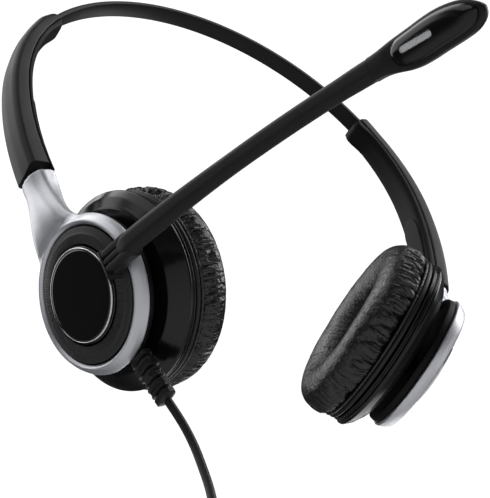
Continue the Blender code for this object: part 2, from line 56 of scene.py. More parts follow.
AZIMUTH, ELEVATION, ROLL = -32.0, -48.7, -3.9
DISTANCE = 0.592
TARGET = Vector((0.0044, 0.0013, -0.1135))
SENSOR_WIDTH, PICTURE_WIDTH = 36, 490
FOCAL = SENSOR_WIDTH * 1871.2 / PICTURE_WIDTH
FLOOR_REACH, FLOOR_Z = 40.0, -0.62
SOFTBOXES = (
    # name, direction from the object, distance, width, height, radiance
    ("high_left", (-0.62, 0.44, 0.60), 0.95, 1.0, 0.9, 1.3),
    ("high_front", (0.42, -0.50, 0.76), 0.95, 0.8, 0.6, 1.8),
    ("left_front", (-0.72, -0.42, 0.50), 0.95, 0.75, 0.7, 0.75),
    ("top", (-0.40, 0.05, 0.91), 0.95, 0.65, 0.45, 1.7),
    ("side_spot", (0.80, -0.25, 0.55), 0.9, 0.35, 0.35, 3.8),
    ("low_right", (0.85, -0.40, -0.30), 0.9, 0.4, 0.7, 0.6),
    ("low_front", (-0.1, -0.85, -0.5), 0.9, 0.4, 0.4, 0.35),
    ("behind", (0.70, 0.70, 0.10), 0.9, 0.5, 0.6, 1.2),
)


def camera_axes():
    az, el, roll = (math.radians(a) for a in (AZIMUTH, ELEVATION, ROLL))
    back = Vector((math.sin(az) * math.cos(el), -math.cos(az) * math.cos(el), math.sin(el)))
    level = (-back).cross(Vector((0, 0, 1))).normalized()
    down = (-back).cross(level)
    right = level * math.cos(roll) - down * math.sin(roll)
    up = -(level * math.sin(roll) + down * math.cos(roll))
    return right, up, back


RIGHT, UP, BACK = camera_axes()


def add_camera():
    data = bpy.data.cameras.new("camera")
    camera = bpy.data.objects.new("camera", data)
    bpy.context.scene.collection.objects.link(camera)
    matrix = Matrix((RIGHT, UP, BACK)).transposed().to_4x4()
    matrix.translation = TARGET + BACK * DISTANCE
    camera.matrix_world = matrix
    data.sensor_fit = "HORIZONTAL"
    data.sensor_width = SENSOR_WIDTH
    data.lens = FOCAL
    data.clip_start = 0.01
    bpy.context.scene.camera = camera


def softbox(name, towards, distance, width, height, radiance):
    """An area light that faces the object from a world direction, of an even brightness."""
    data = bpy.data.lights.new(name, "AREA")
    data.shape = "RECTANGLE"
    data.size, data.size_y = width, height
    data.energy = radiance * math.pi * width * height
    light = bpy.data.objects.new(name, data)
    bpy.context.scene.collection.objects.link(light)
    away = Vector(towards).normalized()
    light.location = TARGET + away * distance
    light.rotation_euler = (-away).to_track_quat("-Z", "Y").to_euler()


def unless_seen(tree, usual, seen):
    """The usual shader for the light that reaches the object, another for what is looked at."""
    path = tree.nodes.new("ShaderNodeLightPath")
    mix = tree.nodes.new("ShaderNodeMixShader")
    tree.links.new(path.outputs["Is Camera Ray"], mix.inputs["Fac"])
    tree.links.new(usual.outputs[0], mix.inputs[1])
    tree.links.new(seen.outputs[0], mix.inputs[2])
    return mix.outputs[0]


def add_world():
    """A dim light all round, in front of a white background."""
    world = bpy.data.worlds.new("studio")
    bpy.context.scene.world = world
    world.use_nodes = True
    tree = world.node_tree
    base = tree.nodes["Background"]
    base.inputs["Color"].default_value = (0.92, 0.95, 1.0, 1)
    base.inputs["Strength"].default_value = 0.05
    white = node(tree, "ShaderNodeBackground", Color=(1, 1, 1, 1), Strength=1.1)
    shown = unless_seen(tree, base, white)
    tree.links.new(shown, tree.nodes["World Output"].inputs["Surface"])


def floor_paint():
    """Pale paper that shows evenly lit, and bounces light to the object like a dim one."""
    made = make_material("floor_paint", (0.85, 0.85, 0.85), 0.7)
    tree = made.node_tree
    paper = tree.nodes["Principled BSDF"]
    glow = node(tree, "ShaderNodeEmission", Color=(0.95, 0.97, 1.0, 1), Strength=0.74)
    add = tree.nodes.new("ShaderNodeAddShader")
    tree.links.new(paper.outputs[0], add.inputs[0])
    tree.links.new(glow.outputs[0], add.inputs[1])
    shown = unless_seen(tree, paper, add)
    tree.links.new(shown, tree.nodes["Material Output"].inputs["Surface"])
    return made


def add_stage():
    """The world's light, the softboxes, and a pale floor well below the object."""
    add_world()
    for box in SOFTBOXES:
        softbox(*box)
    floor = bpy.data.meshes.new("floor")
    r, z = FLOOR_REACH, FLOOR_Z
    floor.from_pydata([(-r, -r, z), (r, -r, z), (r, r, z), (-r, r, z)], [], [(0, 1, 2, 3)])
    obj = bpy.data.objects.new("floor", floor)
    bpy.context.scene.collection.objects.link(obj)
    floor.materials.append(floor_paint())


# ---- materials ----


def make_material(name, colour, roughness, metallic=0.0):
    made = bpy.data.materials.get(name)
    if made:
        return made
    made = bpy.data.materials.new(name)
    made.use_nodes = True
    shader = made.node_tree.nodes["Principled BSDF"]
    shader.inputs["Base Color"].default_value = (*colour, 1)
    shader.inputs["Roughness"].default_value = roughness
    shader.inputs["Metallic"].default_value = metallic
    return made


def node(tree, kind, **values):
    made = tree.nodes.new(kind)
    for key, value in values.items():
        made.inputs[key].default_value = value
    return made


def position(tree, stretch=(1, 1, 1), turn=(0, 0, 0)):
    """The piece's own coordinates in metres, stretched along its axes."""
    coordinates = tree.nodes.new("ShaderNodeTexCoord")
    mapping = node(tree, "ShaderNodeMapping", Scale=stretch, Rotation=turn)
    tree.links.new(coordinates.outputs["Object"], mapping.inputs["Vector"])
    return mapping.outputs["Vector"]


def noise_of(tree, vector, scale, detail=3.0, rough=0.55):
    made = node(tree, "ShaderNodeTexNoise", Scale=scale, Detail=detail, Roughness=rough)
    tree.links.new(vector, made.inputs["Vector"])
    return made.outputs["Fac"]


def ranged(tree, value, low, high):
    """The middle part of a noise, stretched over the values from low to high."""
    values = {"From Min": 0.3, "From Max": 0.7, "To Min": low, "To Max": high}
    made = node(tree, "ShaderNodeMapRange", **values)
    tree.links.new(value, made.inputs["Value"])
    return made.outputs["Result"]


def tinted(tree, value, dark, light):
    made = tree.nodes.new("ShaderNodeMix")
    made.data_type = "RGBA"
    made.inputs["A"].default_value = (*dark, 1)
    made.inputs["B"].default_value = (*light, 1)
    tree.links.new(value, made.inputs["Factor"])
    return made.outputs["Result"]


def bumped(tree, height, distance, strength=1.0, under=None):
    made = node(tree, "ShaderNodeBump", Distance=distance, Strength=strength)
    tree.links.new(height, made.inputs["Height"])
    if under:
        tree.links.new(under, made.inputs["Normal"])
    return made.outputs["Normal"]


def finish_shader(made, colour=None, rough=None, normal=None, **plain):
    tree = made.node_tree
    shader = tree.nodes["Principled BSDF"]
    for socket, value in (("Base Color", colour), ("Roughness", rough), ("Normal", normal)):
        if value is not None:
            tree.links.new(value, shader.inputs[socket])
    for key, value in plain.items():
        shader.inputs[key.replace("_", " ")].default_value = value
    return made


def moulded(name, dark, light, rough, grain=0.00004, size=2600, **plain):
    """Moulded plastic: fine spark texture, slight tone and gloss changes over the surface."""
    made = make_material(name, dark, rough[0])
    tree = made.node_tree
    at = position(tree)
    broad = noise_of(tree, at, 45, 2.0)
    fine = noise_of(tree, at, size, 2.0)
    colour = tinted(tree, broad, dark, light)
    gloss = ranged(tree, broad, rough[0], rough[1])
    return finish_shader(made, colour, gloss, bumped(tree, fine, grain, 0.6), **plain)


def leather():
    """Soft leatherette: pebble grain in two sizes, with tone and gloss that change a little over
    the surface.
    """
    made = make_material("leatherette", (0.01, 0.01, 0.01), 0.4)
    tree = made.node_tree
    at = position(tree)
    cells = node(tree, "ShaderNodeTexVoronoi", Scale=1500, Randomness=1.0)
    cells.feature = "SMOOTH_F1"
    warp = noise_of(tree, at, 900, 3.0)
    add = tree.nodes.new("ShaderNodeVectorMath")
    add.operation = "MULTIPLY_ADD"
    tree.links.new(warp, add.inputs[0])
    add.inputs[1].default_value = (0.0006, 0.0006, 0.0006)
    tree.links.new(at, add.inputs[2])
    tree.links.new(add.outputs[0], cells.inputs["Vector"])
    crease = noise_of(tree, at, 260, 4.0, 0.6)
    broad = noise_of(tree, at, 60, 2.0)
    grain = bumped(tree, cells.outputs["Distance"], 0.00014, 0.7)
    normal = bumped(tree, crease, 0.0009, 0.7, grain)
    colour = tinted(tree, broad, (0.008, 0.008, 0.009), (0.017, 0.017, 0.019))
    gloss = ranged(tree, crease, 0.24, 0.40)
    return finish_shader(made, colour, gloss, normal, Specular_IOR_Level=0.75)


def brushed(name, colour, rough, stretch):
    """Satin metal with fine drawn lines and a slow change of tone."""
    made = make_material(name, colour, rough, 1.0)
    tree = made.node_tree
    lines = noise_of(tree, position(tree, stretch), 1.0, 3.0)
    broad = noise_of(tree, position(tree), 55, 2.0)
    light = tuple(min(1, c * 1.06) for c in colour)
    dark = tuple(c * 0.93 for c in colour)
    gloss = ranged(tree, lines, rough * 0.85, rough * 1.2)
    normal = bumped(tree, lines, 0.00002, 0.5)
    return finish_shader(made, tinted(tree, broad, dark, light), gloss, normal)


def woven(name, dark, light, scale):
    made = make_material(name, dark, 0.95)
    tree = made.node_tree
    heights = []
    for turn in ((0, 0, 0), (0, math.pi / 2, 0)):
        wave = node(tree, "ShaderNodeTexWave", Scale=scale, Distortion=0.6)
        tree.links.new(position(tree, turn=turn), wave.inputs["Vector"])
        heights.append(wave.outputs["Fac"])
    both = tree.nodes.new("ShaderNodeMath")
    both.operation = "MULTIPLY"
    tree.links.new(heights[0], both.inputs[0])
    tree.links.new(heights[1], both.inputs[1])
    colour = tinted(tree, both.outputs[0], dark, light)
    return finish_shader(made, colour, None, bumped(tree, both.outputs[0], 0.0002, 0.8))


MATERIALS = {}


def make_materials():
    m = MATERIALS
    m["soft"] = moulded("soft_black", (0.010, 0.010, 0.011), (0.016, 0.016, 0.017), (0.42, 0.52),
                        Specular_IOR_Level=0.36)
    m["band"] = moulded("band_black", (0.007, 0.007, 0.008), (0.011, 0.011, 0.012), (0.34, 0.44),
                        Specular_IOR_Level=0.3)
    m["matt"] = moulded("matt_black", (0.006, 0.006, 0.0065), (0.010, 0.010, 0.011), (0.48, 0.58),
                        0.00001, Specular_IOR_Level=0.15)
    m["plastic"] = moulded("satin_black", (0.010, 0.010, 0.011), (0.016, 0.016, 0.017),
                           (0.34, 0.46))
    m["shell"] = moulded("shell_black", (0.004, 0.004, 0.0045), (0.007, 0.007, 0.0075),
                         (0.17, 0.23), 0.00001)
    m["hub"] = moulded("hub_grey", (0.020, 0.020, 0.021), (0.042, 0.042, 0.044), (0.42, 0.6),
                       0.00012, 1500)
    m["gloss"] = moulded("gloss_black", (0.003, 0.003, 0.0035), (0.005, 0.005, 0.006),
                         (0.05, 0.08), 0.0, 900, Coat_Weight=0.5, Coat_Roughness=0.04)
    m["cover"] = moulded("cover_black", (0.003, 0.003, 0.0035), (0.005, 0.005, 0.006),
                         (0.16, 0.2), 0.0, 900)
    m["deep"] = moulded("deep_black", (0.003, 0.003, 0.003), (0.005, 0.005, 0.005), (0.45, 0.55),
                        Specular_IOR_Level=0.25)
    m["rubber"] = moulded("rubber", (0.012, 0.012, 0.013), (0.022, 0.022, 0.023), (0.36, 0.5))
    m["film"] = moulded("film", (0.35, 0.30, 0.20), (0.42, 0.36, 0.25), (0.2, 0.3))
    m["leather"] = leather()
    m["aluminium"] = brushed("aluminium", (0.82, 0.83, 0.87), 0.42, (2600, 2600, 420))
    m["chrome"] = brushed("chrome", (0.88, 0.89, 0.91), 0.09, (900, 900, 900))
    m["steel"] = brushed("steel", (0.5, 0.5, 0.51), 0.35, (1500, 1500, 300))
    m["brass"] = brushed("brass", (0.75, 0.58, 0.25), 0.3, (1500, 1500, 300))
    m["grille"] = brushed("grille", (0.92, 0.93, 0.97), 0.55, (1800, 1800, 1800))
    m["cloth"] = woven("cloth", (0.012, 0.012, 0.013), (0.05, 0.05, 0.052), 500)


# ---- mesh helpers ----


def rounded(outline, radius, steps=3):
    """The outline's corners rounded. Points on the axis, with a first value of 0, stay."""
    points = [Vector(p) for p in outline]
    count, result = len(points), []
    for i, here in enumerate(points):
        if abs(here.x) < 1e-9:
            result.append(tuple(here))
            continue
        before, after = points[i - 1] - here, points[(i + 1) % count] - here
        cut = min(radius, before.length * 0.45, after.length * 0.45)
        a, b = here + before.normalized() * cut, here + after.normalized() * cut
        for k in range(steps + 1):
            t = k / steps
            result.append(tuple(a * (1 - t) ** 2 + here * 2 * t * (1 - t) + b * t**2))
    return result


def blend(a, b, t):
    return a + (b - a) * t


def smooth(low, high, value):
    t = min(1.0, max(0.0, (value - low) / (high - low)))
    return t * t * (3 - 2 * t)


def solid(name, loops, material, body=None, nodes=(), ring=False, angle=38):
    """A closed piece through loops of points in millimetres, and what it stands for."""
    bm = bmesh.new()
    rows = [[bm.verts.new(Vector(p) * MM) for p in loop] for loop in loops]
    pairs = list(zip(rows, rows[1:]))
    if ring:
        pairs.append((rows[-1], rows[0]))
    for low, high in pairs:
        count = max(len(low), len(high))
        for i in range(count):
            j = (i + 1) % count
            corners = [low[i % len(low)], low[j % len(low)], high[j % len(high)],
                       high[i % len(high)]]
            unique = list(dict.fromkeys(corners))
            if len(unique) > 2:
                bm.faces.new(unique)
    if not ring:
        for row in (rows[0], rows[-1]):
            if len(row) > 2:
                bm.faces.new(row)
    bmesh.ops.recalc_face_normals(bm, faces=bm.faces)
    mesh = bpy.data.meshes.new(name)
    bm.to_mesh(mesh)
    bm.free()
    obj = bpy.data.objects.new(name, mesh)
    bpy.context.scene.collection.objects.link(obj)
    mesh.materials.append(MATERIALS[material])
    mesh.shade_smooth()
    mesh.set_sharp_from_angle(angle=math.radians(angle))
    if body:
        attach(obj, body)
    if nodes:
        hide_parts(*nodes)
    return obj


def turned_loops(profile, place, steps=96, shift=None):
    """Loops of a shape turned about Z of place, at (radius, w) points that shift may move."""
    loops = []
    for radius, w in profile:
        if radius == 0:
            loops.append([place @ Vector((0, 0, w))])
            continue
        loop = []
        for i in range(steps):
            a = 2 * math.pi * i / steps
            r, z = shift(a, radius, w) if shift else (radius, w)
            loop.append(place @ Vector((r * math.cos(a), r * math.sin(a), z)))
        loops.append(loop)
    return loops


def turned(name, profile, place, material, body=None, nodes=(), steps=96, shift=None,
           angle=38):
    on_axis = profile[0][0] == 0 and profile[-1][0] == 0
    loops = turned_loops(profile, place, steps, shift)
    return solid(name, loops, material, body, nodes, not on_axis, angle)


def baked(obj, *modifiers):
    """Applies modifiers, given as (type, settings), to the piece's mesh."""
    for kind, settings in modifiers:
        made = obj.modifiers.new(kind.lower(), kind)
        for key, value in settings.items():
            setattr(made, key, value)
    graph = bpy.context.evaluated_depsgraph_get()
    mesh = bpy.data.meshes.new_from_object(obj.evaluated_get(graph))
    obj.modifiers.clear()
    obj.data = mesh
    mesh.shade_smooth()
    return obj


# ---- where things are ----

BAND_RADIUS, SHEATH_THICK = 76.2, 1.8
CENTRE_Z = -(BAND_RADIUS - SHEATH_THICK / 2)
EXTENSION = {"left": 14.3, "right": 0.0}
SLEEVE_START, SLEEVE_END = 45.5, 99.0
LOWER_RADIUS, LOWER_FROM = 115.8, 77.0
ARM_THICK, ARM_REACH, RING_DEPTH = 4.1, 21.5, 4.0
RING_PLACE = {"left": (100.3, 135.4), "right": (93.6, 132.3)}
RING_TILT = {"left": 18.2, "right": 21.2}
CUP_TURN = {"left": 0.0, "right": -2.0}
CUP_BACK, BALL_W = 1.3, -9.6
SLEEVE_OUTER = {"left": (3.2, 5.7), "right": (3.0, 4.1)}
LID_DEPTH = {"left": (3.35, 3.35), "right": (3.95, 4.75)}
ARM_SWELL = {"left": 2.8, "right": 0.9}
STRIP_END, STRIP_BENDS = 72, (1, 49)
BAND_PLACE = Matrix.Translation((0, 0, CENTRE_Z))
ARM_PLACE = {
    word: BAND_PLACE @ Matrix.Rotation(math.radians(side * EXTENSION[word]), 4, "Y")
    for word, side in SIDES.items()
}


def arch_frame(angle):
    """Point and outward normal, as (x, z), of the arm's line around the headband's centre."""
    a = math.radians(angle)
    normal = Vector((math.sin(a), math.cos(a)))
    if angle <= LOWER_FROM:
        return normal * BAND_RADIUS, normal
    start = math.radians(LOWER_FROM)
    bend = Vector((math.sin(start), math.cos(start))) * (BAND_RADIUS - LOWER_RADIUS)
    return bend + normal * LOWER_RADIUS, normal


def ring_frame(word):
    distance, angle = RING_PLACE[word]
    a, tilt = math.radians(angle), math.radians(RING_TILT[word])
    centre = Vector((math.sin(a), math.cos(a))) * distance
    up = Vector((math.sin(tilt), math.cos(tilt)))
    axis = Vector((math.cos(tilt), -math.sin(tilt)))
    return centre, up, axis


def arm_station(word, t):
    start, first = arch_frame(SLEEVE_END + 0.4)
    start = start + first * (ARM_THICK / 2 - 1.0)
    centre, up, axis = ring_frame(word)
    end = centre + up * ARM_REACH - axis * (RING_DEPTH / 2)
    down = Vector((first.y, -first.x))
    span = (end - start).length
    h = (2 * t**3 - 3 * t**2 + 1, t**3 - 2 * t**2 + t, -2 * t**3 + 3 * t**2, t**3 - t**2)
    point = start * h[0] + down * span * h[1] + end * h[2] - up * span * h[3]
    return point, (first * (1 - t) + axis * t).normalized()


def cup_place(word):
    side = SIDES[word]
    centre, up, axis = ring_frame(word)
    turn = Matrix((
        (0, side * up.x, side * axis.x),
        (side, 0, 0),
        (0, up.y, axis.y),
    )).to_4x4()
    return ARM_PLACE[word] @ Matrix.Translation((side * centre.x, CUP_BACK, centre.y)) @ turn


def ear_place(word):
    """The cup's own place: it has turned a little on its ball from facing its ring squarely."""
    turn = Matrix.Rotation(math.radians(CUP_TURN[word]), 4, "X")
    ball = Matrix.Translation((0, 0, BALL_W))
    return cup_place(word) @ ball @ turn @ ball.inverted()


CUP_PLACE = {word: cup_place(word) for word in SIDES}
EAR_PLACE = {word: ear_place(word) for word in SIDES}


def across(place, side, point, normal, section):
    """The section's (off, y) points at a station of the arm or band."""
    return [
        place @ Vector((side * (point.x + normal.x * off), y, point.y + normal.y * off))
        for off, y in section
    ]


# ---- headband ----


def build_bands():
    """The sprung strip in two halves, one on each side of the crown."""
    outline = ((-0.9, -3.0), (0.75, -3.0), (0.9, -2.4), (0.98, 0), (0.9, 2.4), (0.75, 3.0),
               (-0.9, 3.0), (-1.0, 0))
    section = rounded(outline, 0.45, 3)
    for word, side in SIDES.items():
        loops = []
        for angle in range(STRIP_END + 1):
            point, normal = arch_frame(angle)
            loops.append(across(BAND_PLACE, side, point, normal, section))
        nodes = [word + "_band_sheath", word + "_band_spring"]
        if word == "left":
            nodes += ["crown_sheath", "crown_spring"]
        strip = solid(word + "_headband_strip", loops, "band", None, nodes)
        for angle in STRIP_BENDS:
            point = arch_frame(angle)[0]
        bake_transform(strip)


# ---- sleeves and arms ----


def sleeve_outline(word, t, grow=0.0, drop=0.0):
    half = blend(4.3, 5.4, t) + grow
    top = blend(*SLEEVE_OUTER[word], t**1.8) + grow - drop
    skin = [
        (-1.45, -half), (top - 1.5, -half - 0.1), (top - 0.15, -half + 1.0),
        (top + 0.35, 0), (top - 0.15, half - 1.0), (top - 1.5, half + 0.1), (-1.45, half),
    ]
    slot = [(-1.45, 3.3), (1.2, 3.3), (1.2, -3.3), (-1.45, -3.3)]
    return skin + slot


def sleeve_angles(end):
    """Stations that crowd together at the mouth and at the end."""
    first = [0, 0.12, 0.3, 0.6, 1.0, 1.6, 2.4, 3.4, 4.6]
    last = [0.6, 0.3, 0.1, 0]
    middle = [SLEEVE_START + 6 + i * 1.5 for i in range(int((end - SLEEVE_START - 8) / 1.5) + 1)]
    return [SLEEVE_START + a for a in first] + middle + [end - a for a in last]


LIP = {"left": 0.45, "right": 1.3}
MOUTH_DROP = {"left": 1.3, "right": 0.0}
LINER_START = 80.5


def build_sleeve(word, side):
    """The outer channel and the lid on its inner side, round-lipped where the band enters."""
    place, body = ARM_PLACE[word], word + "_arm"
    loops = []
    for angle in sleeve_angles(SLEEVE_END):
        t = (angle - SLEEVE_START) / (SLEEVE_END - SLEEVE_START)
        lip = smooth(0, 1.0, angle - SLEEVE_START)
        flare = 0.15 * (1 - smooth(1.0, 7.0, angle - SLEEVE_START))
        grow = flare - 0.6 * (1 - lip) ** 2
        drop = MOUTH_DROP[word] * (1 - smooth(0, 5.5, angle - SLEEVE_START))
        section = rounded(sleeve_outline(word, t, grow, drop), 0.8, 4)
        loop = []
        for off, y in section:
            edge = -0.3 + (-0.3 if y > 0 else -0.9) * (y / 5.3) ** 2
            tail = edge * smooth(0.92, 1.0, t)
            point, normal = arch_frame(angle + tail)
            loop += across(place, side, point, normal, [(off, y)])
        loops.append(loop)
    solid(word + "_sleeve_shell", loops, "soft", body, [word + "_sleeve_outer"])
    loops = []
    for angle in sleeve_angles(SLEEVE_END - 0.4):
        t = (angle - SLEEVE_START) / (SLEEVE_END - SLEEVE_START)
        past = angle - SLEEVE_START
        half = blend(4.3, 5.3, t) - 0.05
        bulge = LIP[word] * (1 - smooth(2.2, 7.5, past)) - 1.1 * (1 - smooth(0, 2.0, past)) ** 2
        low = -blend(*LID_DEPTH[word], t) - bulge
        outline = ((-1.62, -half), (-1.62, half), (low + 1.3, half), (low + 0.25, half - 0.9),
                   (low, half - 2.4), (low, 2.4 - half), (low + 0.25, 0.9 - half),
                   (low + 1.3, -half))
        point, normal = arch_frame(angle)
        loops.append(across(place, side, point, normal, rounded(outline, 0.6, 3)))
    solid(word + "_sleeve_lid", loops, "matt", body, [word + "_sleeve_inner"])


def build_liner(word, side):
    """The black panel on the arm's inner face, with a rounded top let into the lid."""
    place, loops = ARM_PLACE[word], []
    for past in (0, 0.15, 0.4, 0.8, 1.4, 2.2, 3.0, 4.0, 6.0, 9.0, 12.0, 15.0, 17.5):
        share = math.sqrt(max(0.0, 1 - (1 - min(1, past / 3.2)) ** 2))
        half = max(0.25, 3.7 * share)
        low = -LID_DEPTH[word][1] - 0.35
        outline = ((low + 0.5, -half), (low + 0.5, half), (low + 0.15, half), (low, half - 0.2),
                   (low, 0.2 - half), (low + 0.15, -half))
        point, normal = arch_frame(LINER_START + past)
        loops.append(across(place, side, point, normal, rounded(outline, 0.15, 2)))
    for i in range(1, 15):
        t = i / 15 * 0.9
        point, normal = arm_station(word, t)
        half = blend(3.8, 6.6, smooth(0.2, 1.0, t))
        low = -blend(LID_DEPTH[word][1] + 0.35, 2.2, smooth(0.2, 0.85, t))
        outline = ((-1.9, -half), (-1.9, half), (low + 0.2, half), (low, half - 0.3),
                   (low, 0.3 - half), (low + 0.2, -half))
        section = [(off, y + CUP_BACK * t) for off, y in rounded(outline, 0.15, 2)]
        loops.append(across(place, side, point, normal, section))
    solid(word + "_liner_panel", loops, "matt", word + "_arm",
          [word + "_arm_liner"])


RING_PROFILE = ((0, 0.0), (21.1, 0.0), (21.6, -0.1), (22.0, -0.5), (22.9, -1.9),
                (23.55, -3.6), (23.55, -3.95), (23.3, -4.15), (0, -4.15))


def arm_half_width(height):
    """Half the arm's width at a height over the ring's centre, flaring to meet the ring."""
    near = max(0.0, height - 14.5)
    return 8.3 - 2.6 * smooth(25, 40, height) + 9.5 * math.exp(-((near / 6.0) ** 1.3))


def build_yoke(word, side):
    """The aluminium arm and ring: one casting, so the two are merged and smoothed as one."""
    place, loops = ARM_PLACE[word], []
    centre, up, axis = ring_frame(word)

    def add(point, normal, shift, thick_out, thick_in):
        height = (point - centre).dot(up)
        half = arm_half_width(height)
        crown = 0.5 * smooth(22, 34, height)
        outline = ((-thick_in, -half), (thick_out - 2.3, -half), (thick_out - 0.2, -half + 2.6),
                   (thick_out + crown, 0), (thick_out - 0.2, half - 2.6), (thick_out - 2.3, half),
                   (-thick_in, half))
        section = [(off, y + shift) for off, y in rounded(outline, 1.5, 5)]
        loops.append(across(place, side, point, normal, section))

    for i in range(31):
        t = i / 30
        point, normal = arm_station(word, t)
        swell = ARM_SWELL[word] * (1 - t) ** 0.7
        add(point, normal, CUP_BACK * t, ARM_THICK / 2 - 0.05 + swell,
            3.1 - 1.4 * smooth(0.3, 0.9, t))
    last = centre + up * ARM_REACH - axis * (RING_DEPTH / 2)
    for i in range(1, 8):
        add(last - up * i, axis, CUP_BACK, ARM_THICK / 2 - 0.1, 1.9)
    arm = solid(word + "_arm_casting", loops, "aluminium")
    cup = CUP_PLACE[word]
    disc = turned(word + "_ring_disc", RING_PROFILE, cup, "aluminium", steps=160)
    bore = turned(word + "_ring_bore", ((0, 2), (22.4, 2), (21.3, 0.05), (20.3, -0.9),
                                        (20.3, -6), (0, -6)), cup, "aluminium", steps=160)
    loops = []
    for i in range(5):
        point, normal = arch_frame(90.0 + i * 2.6)
        outline = ((-0.9, -2.9), (0.9, -2.9), (0.9, 2.9), (-0.9, 2.9))
        loops.append(across(place, side, point, normal, outline))
    tenon = solid(word + "_tenon", loops, "aluminium")
    union = {"operation": "UNION", "solver": "EXACT"}
    baked(arm, ("BOOLEAN", {"object": disc, **union}))
    baked(arm, ("BOOLEAN", {"object": tenon, **union}))
    baked(arm, ("BOOLEAN", {"object": bore, "operation": "DIFFERENCE", "solver": "EXACT"}))
    for tool in (disc, bore, tenon):
        bpy.data.objects.remove(tool)
    voxel = 0.3
    baked(arm, ("REMESH", {"mode": "VOXEL", "voxel_size": voxel * MM}),
          ("SMOOTH", {"factor": 0.5, "iterations": 4}))
    if not arm.data.materials:
        arm.data.materials.append(MATERIALS["aluminium"])
    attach(arm, word + "_arm")
    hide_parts(word + "_yoke")


# ---- hub ----

CAP = ((0, 2.0), (6.0, 1.97), (12.6, 1.85), (13.2, 1.7), (13.3, 1.0), (14.05, 1.0), (14.2, 0.8),
       (14.25, -1.4), (12.2, -1.4), (12.2, -0.2), (0, -0.2))
TRIM = ((13.35, 1.1), (13.4, 1.75), (13.55, 1.85), (13.75, 1.7), (13.85, 1.4), (13.8, 1.1))
HUB_RING = ((14.6, -0.1), (14.75, 0.75), (15.3, 0.85), (17.6, 0.45), (17.95, 0.1), (18.4, -0.05),
            (19.3, -0.25), (19.85, -0.6), (19.85, -0.95), (14.6, -0.95))
HOUSING = ((2.3, -2.1), (19.9, -2.1), (19.95, -4.45), (22.6, -4.45), (22.9, -4.9), (22.6, -6.4),
           (22.2, -6.75), (21.0, -6.75), (20.6, -5.6), (5.0, -5.6), (4.6, -6.4), (2.3, -6.4))


def build_hub(word):
    cup, arm = CUP_PLACE[word], word + "_arm"
    turned(word + "_cap_disc", rounded(CAP, 0.25), cup, "gloss", arm,
           [word + "_cap"], 128)
    turned(word + "_trim_ring", rounded(TRIM, 0.15), cup, "chrome", arm,
           [word + "_cap_trim"], 128)
    turned(word + "_hub_back", rounded(HOUSING, 0.4), cup, "deep", arm,
           [word + "_hub_housing"], 128)

    def ribs(a, radius, w):
        """Fine radial ridges on the outward face, uneven like a cast texture."""
        wave = math.sin(a * 150) + 0.3 * math.sin(a * 97 + 1.3)
        face = 1 - smooth(17.2, 18.0, radius)
        if w <= -0.5:
            return radius, w
        return radius + 0.06 * wave * (radius < 14.9), w + 0.15 * wave * face

    name = "boom_ring" if word == "left" else "right_hub_ring"
    body = "boom_base" if word == "left" else arm
    turned(name + "_face", rounded(HUB_RING, 0.25, 3), cup, "hub", body,
           [name], 900, ribs, 60)


# ---- cups ----

SHELL = (
    (7.0, -9.5), (16.0, -9.7), (24.3, -9.9), (25.0, -10.3), (25.4, -10.6), (27.6, -12.0),
    (29.1, -13.6), (29.45, -14.0), (29.5, -14.9), (28.6, -15.2), (28.6, -15.8), (29.1, -16.0),
    (29.0, -16.5), (28.3, -16.7), (26.9, -16.6), (26.9, -15.0), (23.6, -12.2), (15.0, -11.5),
    (7.0, -11.1),
)
FLANGE = ((26.6, -17.0), (28.3, -17.0), (29.0, -17.3), (29.15, -17.9), (28.9, -18.5),
          (28.3, -18.8), (26.6, -18.9))
PIPING = ((28.2, -19.0), (28.7, -18.75), (29.15, -18.95), (29.25, -19.4), (28.9, -19.75),
          (28.3, -19.6))


def cushion_profile():
    """Crowned ring: pulled in at the seam, fullest half way, rolling into the ear's hole."""
    points = (
        (27.2, -19.5), (28.4, -20.0), (29.4, -21.6), (29.8, -24.2), (29.4, -27.0), (28.1, -29.3),
        (25.8, -30.8), (22.8, -31.4), (19.6, -31.0), (16.5, -29.7), (14.1, -27.4), (12.8, -24.4),
        (12.4, -21.6), (13.0, -19.9), (14.5, -19.4), (21, -19.3),
    )
    return rounded(points, 3.0, 4)


def build_cushion(word, seed):
    cup = EAR_PLACE[word]

    def gathers(a, radius, w):
        """Pleats drawn in at the seam on the outer wall, fading towards the crown."""
        circle = Vector((math.cos(a) * 2.2, math.sin(a) * 2.2, seed))
        wall = smooth(20, 27, radius)
        near_seam = smooth(-30.5, -21.5, w) * wall
        fold = noise.noise(circle * 2.9 + Vector((0, 0, w * 0.05)))
        pleat = noise.noise(circle * 6.0 + Vector((0, 0, w * 0.10)))
        crease = noise.noise(circle * 21.0 + Vector((0, 0, w * 0.12)))
        fine = noise.noise(circle * 34.0 + Vector((0, 0, w * 0.6)))
        slow = noise.noise(circle * 1.3)
        valley = 1.5 * math.exp(-((fold / 0.07) ** 2)) + 0.9 * math.exp(-((pleat / 0.08) ** 2))
        swell = (0.55 - valley + 0.5 * crease) * near_seam + 0.25 * fine * (0.1 + near_seam)
        swell += 0.3 * slow - 0.15 * near_seam
        inner = 1 - smooth(14.5, 20, radius)
        swell += inner * (0.45 * crease + 0.2 * fine)
        return radius + swell * (1 if radius > 20 else -0.6), w + 0.2 * slow + 0.1 * fine

    steps = 640
    pad = turned(word + "_ear_cushion", cushion_profile(), cup, "leather", word + "_cup",
                 [word + "_cushion"], steps, gathers, 180)


